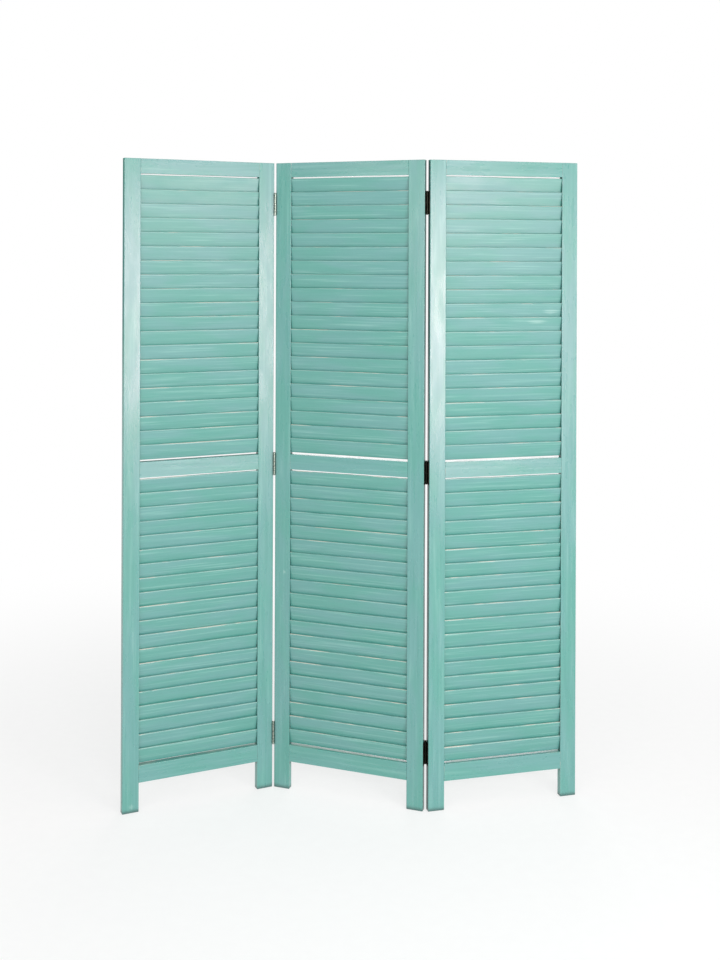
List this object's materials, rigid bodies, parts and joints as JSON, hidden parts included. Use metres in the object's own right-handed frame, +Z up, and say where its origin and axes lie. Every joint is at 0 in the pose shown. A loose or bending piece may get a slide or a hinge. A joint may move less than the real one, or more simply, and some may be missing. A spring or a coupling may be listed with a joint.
{
  "type": "folding screen",
  "caption": "Louvred wooden folding screen: panels of fixed slats between stiles and rails, joined by butt hinges so that they stand in a zigzag or fold flat.",
  "frame": {"origin": "centre of the bounding box at floor level, with the screen standing in the pictured zigzag", "axes": "+Z up, +X along the screen from left to right as seen from the front, +Y from the front to the back"},
  "size_m": [1.205, 0.1872, 1.7],
  "materials": {
    "washed_wood": "turquoise wash over wood, satin, rubbed back at the edges",
    "bare_wood": "raw",
    "hinge_metal": "dark bronze, satin",
    "screw_metal": "dark bronze, worn at the recess"
  },
  "bodies": {
    "left_panel": {"left_panel_left_stile": "washed_wood", "left_panel_right_stile": "washed_wood", "left_panel_bottom_rail": "washed_wood", "left_panel_middle_rail": "washed_wood", "left_panel_top_rail": "washed_wood", "left_panel_lower_slats": "washed_wood", "left_panel_upper_slats": "washed_wood", "left_panel_dowels": "bare_wood", "left_bottom_hinge_outer_leaf": "hinge_metal", "left_bottom_hinge_outer_screws": "screw_metal", "left_middle_hinge_outer_leaf": "hinge_metal", "left_middle_hinge_outer_screws": "screw_metal", "left_top_hinge_outer_leaf": "hinge_metal", "left_top_hinge_outer_screws": "screw_metal"},
    "centre_panel": {"centre_panel_left_stile": "washed_wood", "centre_panel_right_stile": "washed_wood", "centre_panel_bottom_rail": "washed_wood", "centre_panel_middle_rail": "washed_wood", "centre_panel_top_rail": "washed_wood", "centre_panel_lower_slats": "washed_wood", "centre_panel_upper_slats": "washed_wood", "centre_panel_dowels": "bare_wood", "left_bottom_hinge_centre_leaf": "hinge_metal", "left_bottom_hinge_centre_screws": "screw_metal", "left_bottom_hinge_pin": "hinge_metal", "left_middle_hinge_centre_leaf": "hinge_metal", "left_middle_hinge_centre_screws": "screw_metal", "left_middle_hinge_pin": "hinge_metal", "left_top_hinge_centre_leaf": "hinge_metal", "left_top_hinge_centre_screws": "screw_metal", "left_top_hinge_pin": "hinge_metal", "right_bottom_hinge_centre_leaf": "hinge_metal", "right_bottom_hinge_centre_screws": "screw_metal", "right_bottom_hinge_pin": "hinge_metal", "right_middle_hinge_centre_leaf": "hinge_metal", "right_middle_hinge_centre_screws": "screw_metal", "right_middle_hinge_pin": "hinge_metal", "right_top_hinge_centre_leaf": "hinge_metal", "right_top_hinge_centre_screws": "screw_metal", "right_top_hinge_pin": "hinge_metal"},
    "right_panel": {"right_panel_left_stile": "washed_wood", "right_panel_right_stile": "washed_wood", "right_panel_bottom_rail": "washed_wood", "right_panel_middle_rail": "washed_wood", "right_panel_top_rail": "washed_wood", "right_panel_lower_slats": "washed_wood", "right_panel_upper_slats": "washed_wood", "right_panel_dowels": "bare_wood", "right_bottom_hinge_outer_leaf": "hinge_metal", "right_bottom_hinge_outer_screws": "screw_metal", "right_middle_hinge_outer_leaf": "hinge_metal", "right_middle_hinge_outer_screws": "screw_metal", "right_top_hinge_outer_leaf": "hinge_metal", "right_top_hinge_outer_screws": "screw_metal"}
  },
  "joints": [
    {"name": "left_panel_fold", "type": "hinge", "parent": "centre_panel", "child": "left_panel", "pos_m": [-0.21189, 0.07563, 0.881], "axis": [0, 0, 1], "range_deg": [-44.3, 135.7]},
    {"name": "right_panel_fold", "type": "hinge", "parent": "centre_panel", "child": "right_panel", "pos_m": [0.19146, -0.04781, 0.881], "axis": [0, 0, 1], "range_deg": [-34.6, 145.4]}
  ]
}
